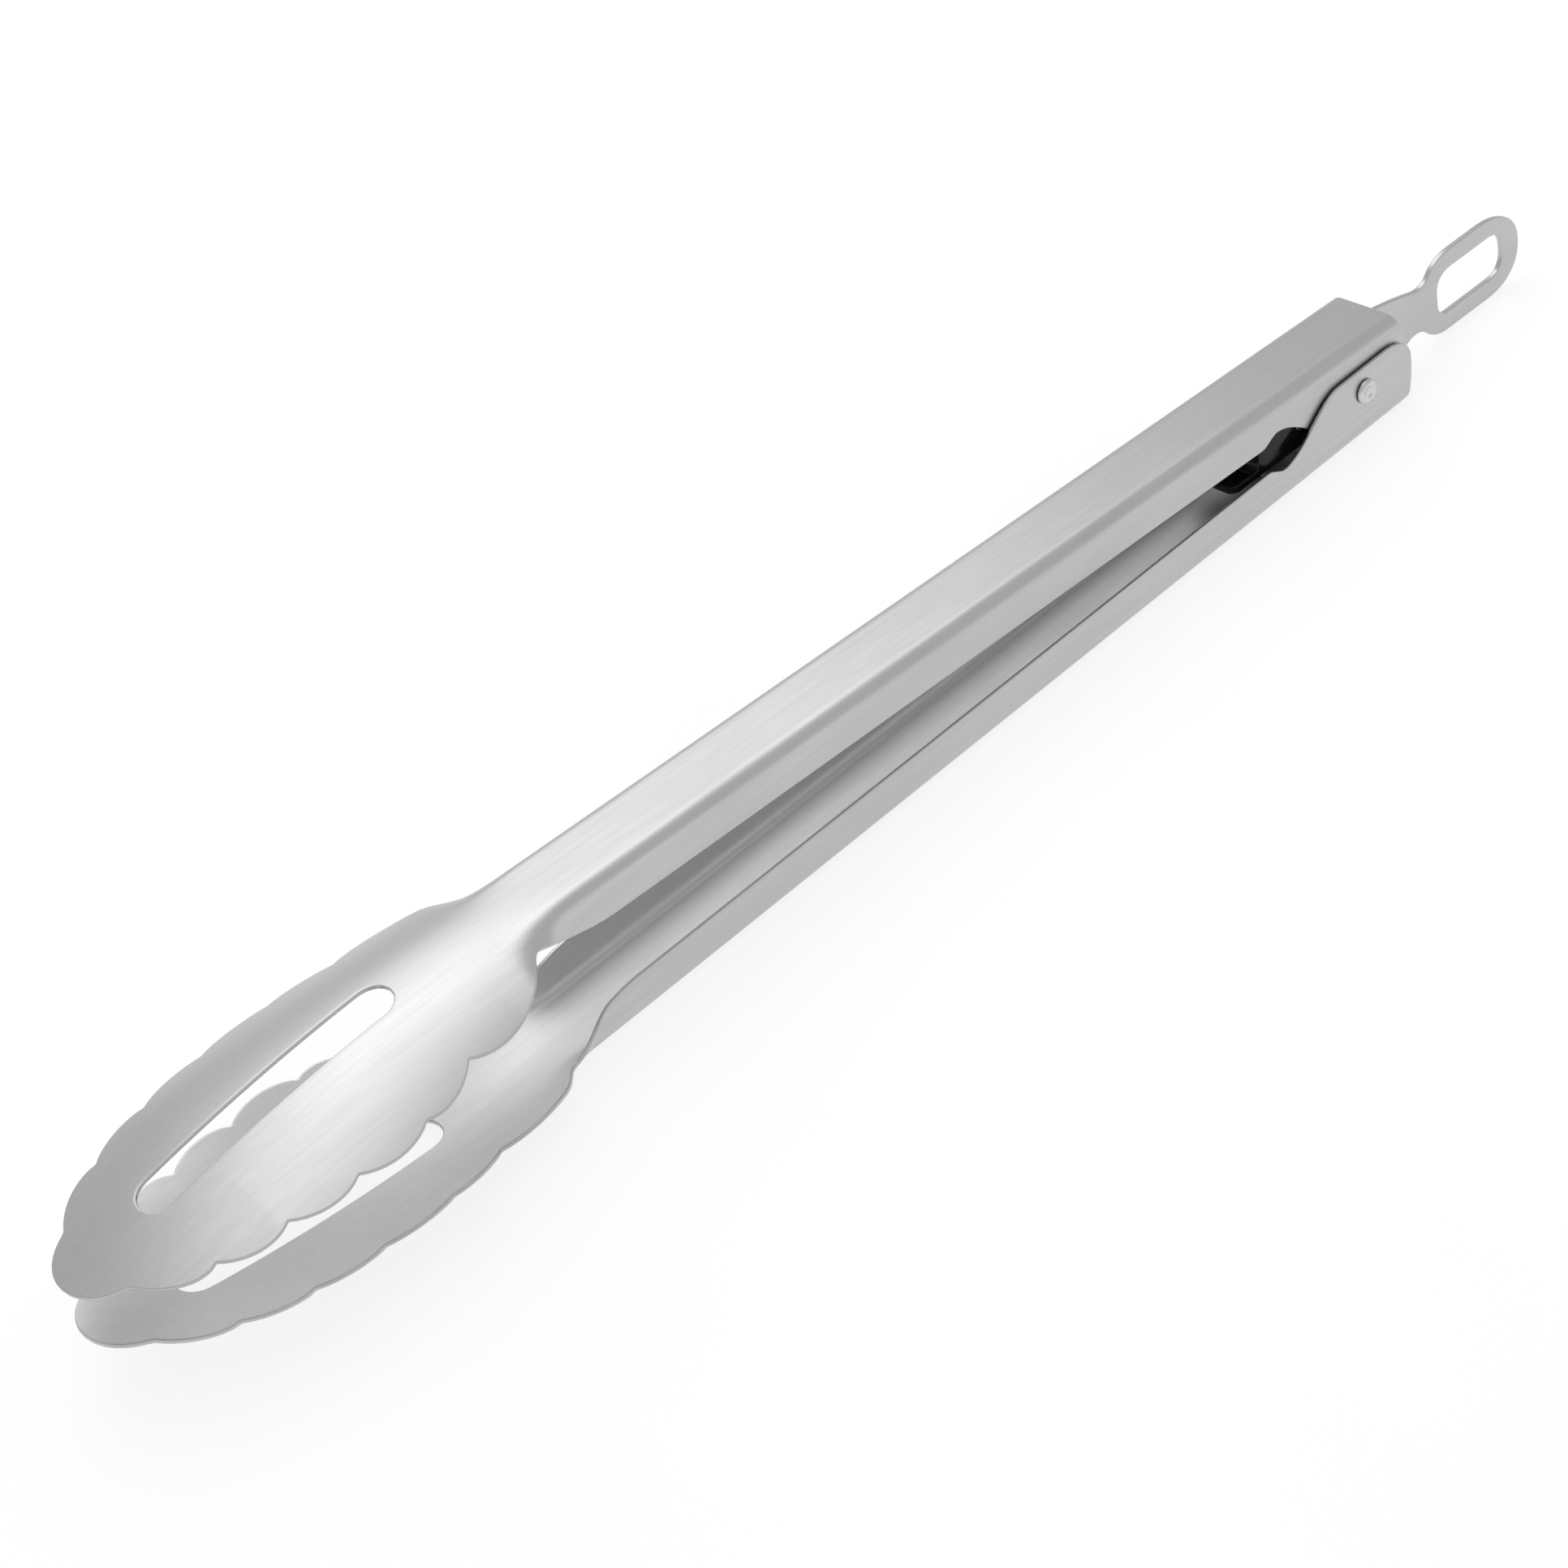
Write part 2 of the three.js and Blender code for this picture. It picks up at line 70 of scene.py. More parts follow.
OVAL_CENTRE, OVAL_LENGTH, OVAL_WIDTH = -0.322, 0.0654, 0.0287
TIP_CENTRE, TIP_RADIUS = -0.3748, 0.0126
NOTCHES = (-0.3787, -0.3638, -0.3483, -0.3316, -0.3136, -0.2983, NECK_WAIST)
NOTCH_TRIM = (0.0023, 0, 0, 0, 0, 0.0027, 0.0032)
LOBE_RISE = (0.003, 0.0025, 0.0022, 0.0022, 0.0021, 0.0042)
LOBE_ROUNDNESS = 0.8
NOTCH_SOFTNESS, WAIST_SOFTNESS = 0.0007, 0.0024     # how far the rounding of a notch reaches along the arm
SLOT_TIP, SLOT_NECK, SLOT_HALF = -0.3662, -0.299, 0.0051

WALL, RECESS_DEPTH, LUG = 0.011, 0.0023, 0.0194
RECESS_START, RECESS_END, RAMP_END = -0.037, -0.031, -0.0085
WEB_END, LAST_STRAIGHT = 0.0153, 0.005
NOSE_REACH, NOSE_DEPTH, NOSE_CORNER = 0.0028, 0.0134, 0.0086

# ---- hinge, lock plate, slider and springs ----
PIN_RADIUS, BORE_RADIUS = 0.0023, 0.0026
HEAD_RADIUS, HEAD_HEIGHT, HEAD_GAP, DIMPLE = 0.0033, 0.0013, 0.00015, 0.0018
HEAD_FILLET, SLEEVE_FILLET, CROSS_FILLET = 0.0004, 0.0002, 0.0003
SLEEVE_RADIUS, SLEEVE_HALF = 0.0032, 0.0088

PLATE_THICKNESS, PLATE_TILT, PLATE_HALF = 0.0015, 0.026, 0.0104
PLATE_FRONT, PLATE_SHOULDER = -0.007, 0.015
TONGUE_FRONT, TONGUE_HALF = -0.0246, 0.0032
PLATE_NECK_HALF = 0.0059
LOOP_END, LOOP_HALF, LOOP_BULGE = 0.0759, 0.0113, 0.62
LOOP_TOP = (0.0355, 0.0485, 0.0599)            # its edge above the centre line: neck, start and last turn
LOOP_BOTTOM = (0.0331, 0.0461, 0.0624)         # the same below the centre line
HOLE_START, HOLE_END, HOLE_HALF = 0.0426, 0.0691, 0.0061
HOLE_CORNERS = (0.006, 0.0054, 0.006, 0.0038)  # top left, top right, bottom right, bottom left
SLOT_IN_PLATE = (-0.0058, 0.0208, 0.0035)      # start, end and half width of the slot round the hinge pin
PLATE_ROUNDING = 0.0003

SLIDER_FRONT, SLIDER_BACK, SLIDER_HALF, SLIDER_CORNER = -0.0466, -0.016, 0.0086, 0.0026
SLIDER_BOTTOM, TRAY_RIM, TRAY_FLOOR, TRAY_WALL, TRAY_END = -0.0051, -0.0031, -0.0043, 0.001, -0.038
BLOCK_START, BLOCK_TOP = -0.0346, 0.0035
GROOVE_FRONT, GROOVE_HALF, GROOVE_FLOOR = -0.0254, 0.0011, -0.0036
CROSS_AT, CROSS_RADIUS, CROSS_BORE, CROSS_HALF = -0.0205, 0.0012, 0.0015, 0.0083
SLIDER_ROUNDING = 0.00035

WIRE, COIL, TURNS, PITCH, COIL_SIDE, REACH = 0.0012, 0.0043, 3, 0.00125, 0.00195, -0.030
SPRING_LOW, SPRING_HIGH = 0.0022, 0.0243

SHARP_EDGE = math.radians(40)       # edges turning more than this stay crisp
CUT_MARGIN = 0.001                  # how far a cutting tool reaches past what it cuts
WHOLE_WIDTH = 0.02                  # half the length of a tool that cuts right across

HINGE = Vector(frame["record"]["behaviour"]["joints"][0]["pos_m"])


# ---- small maths ----
def lerp(a, b, t):
    return a + (b - a) * t


def smooth(start, end, x):
    t = min(1.0, max(0.0, (x - start) / (end - start)))
    return t * t * (3 - 2 * t)


def spread(start, end, count, ease=None):
    """count values from start towards end, which is left out."""
    return [lerp(start, end, ease(i / count) if ease else i / count) for i in range(count)]


def ease_both(t):
    return (1 - math.cos(math.pi * t)) / 2


def ease_start(t):
    return 1 - math.cos(math.pi * t / 2)


def ease_end(t):
    return math.sin(math.pi * t / 2)


# ---- the flat blank of an arm, and how it is folded ----
def folded_length(half, depth):
    return half + depth - BEND * (2 - math.pi / 2)


def wall_depth(s):
    cut = RECESS_DEPTH * smooth(RECESS_START, RECESS_END, s)
    return WALL - cut + (LUG - WALL + RECESS_DEPTH) * smooth(RECESS_END, RAMP_END, s)


def oval_half(s):
    t = (s - OVAL_CENTRE) / OVAL_LENGTH
    return OVAL_WIDTH * math.sqrt(max(0.0, 1 - t * t))


def sharp_half(s, half):
    """The blank's half width at a station, with the head's scallops meeting in sharp notches."""
    if s <= NOTCHES[0]:
        return math.sqrt(max(0.0, TIP_RADIUS ** 2 - (s - TIP_CENTRE) ** 2))
    if s >= NECK_WAIST:
        waist = oval_half(NECK_WAIST) - NOTCH_TRIM[-1]
        rise = ease_end(min(1.0, (s - NECK_WAIST) / (NECK_START - NECK_WAIST)))
        return lerp(waist, folded_length(half, wall_depth(s)), rise)
    i = next(k for k in range(1, len(NOTCHES)) if s <= NOTCHES[k]) - 1
    t = (s - NOTCHES[i]) / (NOTCHES[i + 1] - NOTCHES[i])
    bulge = (4 * t * (1 - t)) ** LOBE_ROUNDNESS
    return oval_half(s) - lerp(NOTCH_TRIM[i], NOTCH_TRIM[i + 1], t) + LOBE_RISE[i] * bulge


def blank_half(s, half):
    """The blank's half width with its notches rounded, as a press tool leaves them."""
    notch = min(NOTCHES, key=lambda station: abs(s - station))
    softness = WAIST_SOFTNESS if notch == NECK_WAIST else NOTCH_SOFTNESS
    width = softness - 0.5 * abs(s - notch)
    if width <= 0:
        return sharp_half(s, half)
    shares = [k / 8 for k in range(-7, 8)]
    weights = [1 - u * u for u in shares]
    return sum(w * sharp_half(s + u * width, half) for u, w in zip(shares, weights)) / sum(weights)


def slot_half(s):
    from_end = min(s - SLOT_TIP, SLOT_NECK - s)
    if from_end < 0:
        return 0.0
    inside = max(0.0, SLOT_HALF - from_end)
    return math.sqrt(max(0.0, SLOT_HALF ** 2 - inside ** 2))


def end_station(a, half):
    """Where the blank ends behind the hinge: the web stops first and the lug's nose reaches further."""
    depth = a - folded_length(half, 0)
    if depth < NOSE_DEPTH:
        return WEB_END + NOSE_REACH * math.sin(max(0.0, depth / NOSE_DEPTH) * math.pi / 2)
    t = min(1.0, (depth - NOSE_DEPTH) / (LUG - NOSE_DEPTH))
    return WEB_END + NOSE_REACH - NOSE_CORNER * (1 - math.sqrt(max(0.0, 1 - t * t)))


def folded_point(s, a, half):
    """Where a point of the blank's outside ends up: x along the arm, y across it, z down from the web."""
    reach = abs(a)
    flat = half - BEND
    turn = (reach - flat) / BEND
    across, down = reach, 0.0
    if turn > math.pi / 2:
        across, down = half, -BEND - (turn - math.pi / 2) * BEND
    elif turn > 0:
        across, down = flat + BEND * math.sin(turn), -BEND * (1 - math.cos(turn))
    sag = lerp(ARCH_TIP, ARCH_NECK, min(1.0, max(0.0, (s - ARCH_FROM) / (ARCH_TO - ARCH_FROM))))
    t = smooth(UNFOLD_HEAD, UNFOLD_CHANNEL, s)
    beyond = max(0.0, (CREST_START - s) / (CREST_START - TIP))
    y = math.copysign(lerp(reach, across, t), a)
    return Vector((s, y, lerp(-sag * reach * reach, down, t) - CREST_DROP * beyond * beyond))


def sheet_point(s, a, depth, half):
    """The same point, depth below the sheet's outside."""
    step = 2e-5
    along = folded_point(s + step, a, half) - folded_point(s - step, a, half)
    across = folded_point(s, a + step, half) - folded_point(s, a - step, half)
    return folded_point(s, a, half) - along.cross(across).normalized() * depth


# ---- the arm's mesh: a grid on each side of the sheet and a rounded rim along every cut edge ----
def head_stations():
    marks = spread(TIP, NOTCHES[0], 14, ease_start)
    for i in range(len(NOTCHES) - 1):
        marks += spread(NOTCHES[i], NOTCHES[i + 1], 24 if i == len(NOTCHES) - 2 else 16, ease_both)
    marks += spread(SLOT_TIP, SLOT_TIP + SLOT_HALF, 9, ease_start)
    marks += spread(SLOT_NECK - SLOT_HALF, SLOT_NECK, 9, ease_end)
    return marks + [SLOT_NECK]


def arm_stations():
    marks = head_stations()
    marks += spread(NECK_WAIST, NECK_START, 22, ease_both)
    marks += spread(NECK_START, RECESS_START, 34)
    marks += spread(RECESS_START, RECESS_END, 8)
    marks += spread(RECESS_END, RAMP_END, 18)
    marks += spread(RAMP_END, LAST_STRAIGHT, 6)
    marks = sorted(marks + [LAST_STRAIGHT])
    keep = [marks[0]]
    exact = set(NOTCHES) | {SLOT_TIP, SLOT_NECK, LAST_STRAIGHT}
    for s in marks[1:]:
        if 0 < s - SLOT_NECK < 2 * EDGE or 0 < SLOT_TIP - s < 2 * EDGE:
            continue            # it would cross the row that is set back round the slot's end
        if s - keep[-1] > 1e-4:
            keep.append(s)
        elif s in exact:
            keep[-1] = s
    return keep


def outward(points):
    """Unit normals of an open 2-D line, on its right-hand side."""
    line = np.array(points)
    step = np.empty_like(line)
    step[1:-1] = line[2:] - line[:-2]
    step[0], step[-1] = line[1] - line[0], line[-1] - line[-2]
    normal = np.stack([-step[:, 1], step[:, 0]], axis=1)
    return normal / np.linalg.norm(normal, axis=1)[:, None]


def columns(start, end, half, edge):
    """Points from start to end across the blank, closer together in the bend and near the edge."""
    web = min(half - BEND, 0.38 * edge) / edge
    bend = min(half - BEND + BEND * math.pi / 2, 0.66 * edge) / edge
    shares = spread(0, web, 7) + spread(web, bend, 9) + spread(bend, 1, 9, ease_end) + [1.0]
    return [lerp(start, end, u) for u in shares]


def half_blank(half):
    """Rows of 2-D points on one half of the blank, the outline's points and normals, and the slot's."""
    stations = arm_stations()
    outline = np.array([(s, blank_half(s, half)) for s in stations])
    normals = outward(outline)
    normals[0] = (-1.0, 0.0)
    normals[-1] = (0.0, 1.0)
    slot_rows = [i for i, s in enumerate(stations) if SLOT_TIP <= s <= SLOT_NECK]
    slot = np.array([(stations[i], slot_half(stations[i])) for i in slot_rows])
    slot_normals = -outward(slot)
    slot_normals[0], slot_normals[-1] = (1.0, 0.0), (-1.0, 0.0)
    rows = []
    for i in range(len(stations)):
        end = outline[i] - EDGE * normals[i]
        start = np.array((end[0], 0.0))
        if i in slot_rows:
            k = i - slot_rows[0]
            start = slot[k] - EDGE * slot_normals[k]
            start[1] = max(0.0, start[1])
        rows.append(columns(start, end, half, max(outline[i][1], 1e-3)))
    # behind the hinge the rows turn gradually into the blank's end curve
    last = rows[-1]
    edge = outline[-1][1]
    reach = [p[1] / last[-1][1] * edge for p in last]
    end_curve = np.array([(end_station(a, half), a) for a in reach])
    end_normals = -outward(end_curve)
    end_normals[0], end_normals[-1] = (1.0, 0.0), (0.0, 1.0)
    inset = end_curve - EDGE * end_normals
    steps = 10
    side = []
    for k in range(1, steps + 1):
        t = ease_end(k / steps)
        rows.append([lerp(np.array(p), q, t) for p, q in zip(last, inset)])
        side.append((lerp(LAST_STRAIGHT, end_curve[-1][0], t), edge))
    rim = list(zip(outline, normals)) + [(np.array(p), np.array((0.0, 1.0))) for p in side[:-1]]
    rim += [(end_curve[j], end_normals[j]) for j in range(len(end_curve) - 1, -1, -1)]
    return rows, rim, list(zip(slot, slot_normals))


def rim_profile():
    """(inset, depth) pairs round the sheet's cut edge, from its outside to its inside."""
    over = [(EDGE * (1 - ease_end(t)), EDGE * ease_start(t)) for t in (0, 0.25, 0.5, 0.75, 1)]
    return over + [(inset, SHEET - depth) for inset, depth in reversed(over)]


class Skin:
    """Collects vertices, welding the ones in the same place, and the faces between them."""

    def __init__(self):
        self.points, self.faces, self.finishes, self.index = [], [], [], {}

    def add(self, point):
        key = tuple(round(c * 1e7) for c in point)
        if key not in self.index:
            self.index[key] = len(self.points)
            self.points.append(point)
        return self.index[key]

    def grid(self, rows, finish=0):
        """Four-sided faces between rows of points; finish is the number of their material."""
        ids = [[self.add(p) for p in row] for row in rows]
        for low, high in zip(ids, ids[1:]):
            for j in range(len(low) - 1):
                self.face((low[j], high[j], high[j + 1], low[j + 1]), finish)

    def face(self, corners, finish):
        ring = list(dict.fromkeys(corners))
        if len(ring) > 2:
            self.faces.append(ring)
            self.finishes.append(finish)

    def piece(self, name, matrix, materials):
        mesh = bpy.data.meshes.new(name)
        mesh.from_pydata([matrix @ Vector(p) for p in self.points], [], self.faces)
        for material in materials:
            mesh.materials.append(material)
        mesh.polygons.foreach_set("material_index", self.finishes)
        return finished(name, mesh)


def finished(name, mesh):
    """A smooth-shaded object with its faces pointing out and its corners kept crisp."""
    shape = bmesh.new()
    shape.from_mesh(mesh)
    bmesh.ops.recalc_face_normals(shape, faces=shape.faces)
    shape.to_mesh(mesh)
    shape.free()
    mesh.polygons.foreach_set("use_smooth", [True] * len(mesh.polygons))
    mesh.set_sharp_from_angle(angle=SHARP_EDGE)
    piece = bpy.data.objects.new(name, mesh)
    bpy.context.scene.collection.objects.link(piece)
    return piece


def arm(name, half, matrix):
    """A pressed arm, web up with the hinge axis at the origin, then placed by matrix."""
    rows, rim, slot = half_blank(half)
    skin = Skin()
    for side in (1, -1):
        # the inside of the sheet takes the second material: the same steel painted lighter, painted light standing
        # in for the light inside the channel
        for depth, finish in ((0.0, 0), (SHEET, 1)):
            skin.grid([[sheet_point(p[0], side * p[1], depth, half) for p in row] for row in rows], finish)
        for line in (rim, slot):
            skin.grid([rim_row(point, normal, side, half) for point, normal in line])
    up = Matrix.Translation((0, 0, HINGE.z))
    piece = skin.piece(name, matrix @ up, (ARM_STEEL, ARM_INSIDE_PAINTED_LIGHT))
    cut(piece, round_bar("bore", BORE_RADIUS, 4 * half, matrix))
    return piece


def rim_row(point, normal, side, half):
    row = []
    for inset, depth in rim_profile():
        s, a = point - inset * normal
        row.append(sheet_point(s, side * max(0.0, a), depth, half))
    return row


def round_bar(name, radius, length, matrix, sides=48):
    """A plain bar along Y, used only to cut with."""
    shape = bmesh.new()
    turn = Matrix.Rotation(math.pi / 2, 4, "X")
    bmesh.ops.create_cone(shape, cap_ends=True, segments=sides, radius1=radius, radius2=radius, depth=length,
                          matrix=matrix @ turn)
    mesh = bpy.data.meshes.new(name)
    shape.to_mesh(mesh)
    shape.free()
    bar = bpy.data.objects.new(name, mesh)
    bpy.context.scene.collection.objects.link(bar)
    return bar


def apply_modifiers(piece):
    bpy.context.view_layer.update()
    graph = bpy.context.evaluated_depsgraph_get()
    mesh = bpy.data.meshes.new_from_object(piece.evaluated_get(graph))
    piece.modifiers.clear()
    piece.data = mesh


def cut(piece, tool):
    """Takes tool away from piece and deletes it."""
    boolean = piece.modifiers.new("cut", "BOOLEAN")
    boolean.object = tool
    boolean.operation = "DIFFERENCE"
    boolean.solver = "EXACT"
    apply_modifiers(piece)
    bpy.data.objects.remove(tool)
    piece.data.set_sharp_from_angle(angle=SHARP_EDGE)


# ---- bodies of revolution about the hinge pin ----
def turned(name, profile, matrix, material, sides=72):
    """profile is (radius, y) pairs; the ends lie on the axis or the profile closes on itself."""
    skin = Skin()
    rows = []
    for i in range(sides + 1):
        angle = 2 * math.pi * (i % sides) / sides
        rows.append([(r * math.cos(angle), y, r * math.sin(angle)) for r, y in profile])
    skin.grid(rows)
    return skin.piece(name, matrix, (material,))


def fillet(points, radius, steps=4):
    """Rounds the corners of an open (r, y) line that are more than radius from their neighbours."""
    out = [points[0]]
    for before, here, after in zip(points, points[1:], points[2:]):
        p, a, b = (np.array(x, float) for x in (here, before, after))
        reach = min(radius, 0.45 * np.linalg.norm(a - p), 0.45 * np.linalg.norm(b - p))
        start = p + (a - p) / np.linalg.norm(a - p) * reach
        end = p + (b - p) / np.linalg.norm(b - p) * reach
        for k in range(steps + 1):
            t = k / steps
            out.append(tuple((1 - t) ** 2 * start + 2 * t * (1 - t) * p + t * t * end))
    return out + [points[-1]]


def hinge_rivet(matrix):
    seat = LOWER_HALF + HEAD_GAP
    top = seat + HEAD_HEIGHT
    half = [
        (PIN_RADIUS, 0.0),
        (PIN_RADIUS, seat),
        (HEAD_RADIUS, seat),
        (HEAD_RADIUS, seat + 0.5 * HEAD_HEIGHT),
        (HEAD_RADIUS - 0.0006, top - 0.00012),
        (DIMPLE + 0.0004, top),
        (DIMPLE - 0.0002, top - 0.0002),
        (0.55 * DIMPLE, top - 0.00055),
        (0.0, top - 0.0006),
    ]
    upper = fillet(half, HEAD_FILLET, 5)
    lower = [(r, -y) for r, y in reversed(upper[1:])]
    return turned("rivet", lower + upper[1:], matrix, RIVET_STEEL)


def hinge_sleeve(matrix):
    ring = [
        (BORE_RADIUS, 0.0),
        (BORE_RADIUS, SLEEVE_HALF),
        (SLEEVE_RADIUS, SLEEVE_HALF),
        (SLEEVE_RADIUS, -SLEEVE_HALF),
        (BORE_RADIUS, -SLEEVE_HALF),
        (BORE_RADIUS, 0.0),
    ]
    return turned("sleeve", fillet(ring, SLEEVE_FILLET, 3), matrix, RIVET_STEEL)


def slider_pin(matrix):
    line = [(0.0, -CROSS_HALF), (CROSS_RADIUS, -CROSS_HALF), (CROSS_RADIUS, CROSS_HALF), (0.0, CROSS_HALF)]
    place = matrix @ Matrix.Translation((CROSS_AT, 0, 0))
    return turned("cross_pin", fillet(line, CROSS_FILLET, 4), place, RIVET_STEEL, 40)


# ---- flat plates from 2-D curves ----
def bezier(p0, p1, p2, p3, count):
    points = []
    for k in range(1, count + 1):
        t = k / count
        u = 1 - t
        points.append(tuple(u ** 3 * a + 3 * u * u * t * b + 3 * u * t * t * c + t ** 3 * d
                            for a, b, c, d in zip(p0, p1, p2, p3)))
    return points


def quadratic(p0, p1, p2, count):
    first = tuple(lerp(a, b, 2 / 3) for a, b in zip(p0, p1))
    second = tuple(lerp(a, b, 2 / 3) for a, b in zip(p2, p1))
    return bezier(p0, first, second, p2, count)


def half_outline(neck, start, turn):
    """The plate's edge above its centre line, from the tongue to the end of the loop."""
    edge = [(TONGUE_FRONT, TONGUE_HALF), (PLATE_FRONT - 0.005, TONGUE_HALF)]
    edge += quadratic(edge[-1], (PLATE_FRONT - 0.001, TONGUE_HALF), (PLATE_FRONT, PLATE_HALF - 0.002), 10)
    edge += quadratic(edge[-1], (PLATE_FRONT + 0.001, PLATE_HALF), (PLATE_FRONT + 0.003, PLATE_HALF), 8)
    edge += [(PLATE_SHOULDER, PLATE_HALF)]
    edge += quadratic(edge[-1], (PLATE_SHOULDER + 0.0095, PLATE_HALF - 0.0014),
                      (neck - 0.002, PLATE_NECK_HALF + 0.00045), 12)
    edge += quadratic(edge[-1], (neck + 0.0022, PLATE_NECK_HALF - 0.0006),
                      (neck + 0.0046, PLATE_NECK_HALF + 0.0022), 12)
    edge += quadratic(edge[-1], (start - 0.0054, LOOP_HALF), (start, LOOP_HALF), 12)
    edge += [(turn, LOOP_HALF)]
    return edge + bezier(edge[-1], (lerp(turn, LOOP_END, LOOP_BULGE), LOOP_HALF),
                         (LOOP_END, LOOP_BULGE * LOOP_HALF), (LOOP_END, 0.0), 28)


def plate_outline():
    below = half_outline(*LOOP_BOTTOM)[:-1]
    return half_outline(*LOOP_TOP) + [(x, -z) for x, z in reversed(below)]


def rounded_hole(x0, x1, half, corners, count=12):
    """A long hole with one radius for each corner: top left, top right, bottom right, bottom left."""
    a, b, c, d = corners
    edge = [(x0, half - a)]
    edge += quadratic(edge[-1], (x0, half), (x0 + a, half), count)
    edge += [(x1 - b, half)]
    edge += quadratic(edge[-1], (x1, half), (x1, half - b), count)
    edge += [(x1, c - half)]
    edge += quadratic(edge[-1], (x1, -half), (x1 - c, -half), count)
    edge += [(x0 + d, -half)]
    return edge + quadratic(edge[-1], (x0, -half), (x0, d - half), count)


def flat_plate(name, outline, holes, thickness, rounding, matrix):
    """A plate in the X-Z plane with rounded edges, from a filled 2-D curve."""
    curve = bpy.data.curves.new(name, "CURVE")
    curve.dimensions = "2D"
    curve.fill_mode = "BOTH"
    curve.extrude = thickness / 2 - rounding
    curve.bevel_depth = rounding
    curve.bevel_resolution = 3
    curve.offset = -rounding
    for loop in [outline, *holes]:
        spline = curve.splines.new("POLY")
        spline.points.add(len(loop) - 1)
        spline.use_cyclic_u = True
        for point, (x, z) in zip(spline.points, loop):
            point.co = (x, z, 0, 1)
    flat = bpy.data.objects.new(name + "_curve", curve)
    bpy.context.scene.collection.objects.link(flat)
    bpy.context.view_layer.update()
    mesh = bpy.data.meshes.new_from_object(flat.evaluated_get(bpy.context.evaluated_depsgraph_get()))
    bpy.data.objects.remove(flat)
    shape = bmesh.new()
    shape.from_mesh(mesh)
    bmesh.ops.remove_doubles(shape, verts=shape.verts, dist=1e-6)
    shape.to_mesh(mesh)
    shape.free()
    mesh.transform(matrix @ Matrix.Rotation(math.pi / 2, 4, "X"))
    mesh.name = name
    mesh.materials.clear()
    mesh.materials.append(LOOP_STEEL)
    return finished(name, mesh)


def lock_plate(matrix):
    turns = [2 * math.pi * k / 32 for k in range(32)]
    cross = [(CROSS_AT + CROSS_BORE * math.cos(a), CROSS_BORE * math.sin(a)) for a in turns]
    holes = [
        rounded_hole(HOLE_START, HOLE_END, HOLE_HALF, HOLE_CORNERS),
        rounded_hole(*SLOT_IN_PLATE, [SLOT_IN_PLATE[2]] * 4),
        cross,
    ]
    return flat_plate("pull_loop", plate_outline(), holes, PLATE_THICKNESS, PLATE_ROUNDING, matrix)


# ---- materials ----
NOISE_RANGE = (0.3, 0.7)


def node(tree, kind, **inputs):
    made = tree.nodes.new(kind)
    for name, value in inputs.items():
        made.inputs[name.replace("_", " ")].default_value = value
    return made


def noise(tree, vector, scale, stretch=(1, 1, 1), detail=3.0, roughness=0.55):
    """Noise over the object, with lengths in metres; stretch divides the frequency along each axis."""
    mapping = tree.nodes.new("ShaderNodeMapping")
    mapping.inputs["Scale"].default_value = tuple(1 / s for s in stretch)
    tree.links.new(vector, mapping.inputs["Vector"])
    made = node(tree, "ShaderNodeTexNoise", Scale=scale, Detail=detail, Roughness=roughness)
    tree.links.new(mapping.outputs["Vector"], made.inputs["Vector"])
    return made.outputs["Fac"]


def ramp(tree, value, low, high):
    """A colour between low and high, each three numbers, over the noise's usual range."""
    made = tree.nodes.new("ShaderNodeValToRGB")
    for element, at, shade in zip(made.color_ramp.elements, NOISE_RANGE, (low, high)):
        element.position = at
        element.color = (*shade, 1)
    tree.links.new(value, made.inputs["Fac"])
    return made.outputs["Color"]


def to_range(tree, value, low, high):
    """Spreads the part of a noise's range that it mostly keeps to between low and high."""
    made = tree.nodes.new("ShaderNodeMapRange")
    made.inputs["From Min"].default_value, made.inputs["From Max"].default_value = NOISE_RANGE
    made.inputs["To Min"].default_value = low
    made.inputs["To Max"].default_value = high
    tree.links.new(value, made.inputs["Value"])
    return made.outputs["Result"]


def bump(tree, height, distance, strength):
    made = node(tree, "ShaderNodeBump", Strength=strength, Distance=distance)
    tree.links.new(height, made.inputs["Height"])
    return made.outputs["Normal"]


def new_material(name, metallic):
    material = bpy.data.materials.new(name)
    material.use_nodes = True
    tree = material.node_tree
    shader = tree.nodes["Principled BSDF"]
    shader.inputs["Metallic"].default_value = metallic
    place = tree.nodes.new("ShaderNodeTexCoord").outputs["Object"]
    return material, tree, shader, place


def steel(name, shades, gloss, grain, grain_depth, along=(40, 1, 1), brushed=0.0):
    """Stainless steel: shades and gloss are (low, high) ranges, grain and grain_depth are the brushing's
    fineness and depth, and along stretches it. brushed spreads reflections across it, as it runs along X."""
    material, tree, shader, place = new_material(name, 1.0)
    brushing = noise(tree, place, grain, along, 4.0, 0.6)
    clouds = noise(tree, place, 60.0, (3, 1, 1), 3.0)
    blend = tree.nodes.new("ShaderNodeMix")
    blend.data_type = "FLOAT"
    blend.inputs["Factor"].default_value = 0.45
    tree.links.new(brushing, blend.inputs["A"])
    tree.links.new(clouds, blend.inputs["B"])
    mixed = blend.outputs["Result"]
    tree.links.new(ramp(tree, mixed, *shades), shader.inputs["Base Color"])
    tree.links.new(to_range(tree, mixed, gloss[1], gloss[0]), shader.inputs["Roughness"])
    tree.links.new(bump(tree, brushing, grain_depth, 0.5), shader.inputs["Normal"])
    if brushed:
        lengthwise = tree.nodes.new("ShaderNodeVectorTransform")
        lengthwise.vector_type = "VECTOR"
        lengthwise.convert_from, lengthwise.convert_to = "OBJECT", "WORLD"
        lengthwise.inputs["Vector"].default_value = (1, 0, 0)
        tree.links.new(lengthwise.outputs["Vector"], shader.inputs["Tangent"])
        shader.inputs["Anisotropic"].default_value = brushed
        shader.inputs["Anisotropic Rotation"].default_value = 0.25
    return material


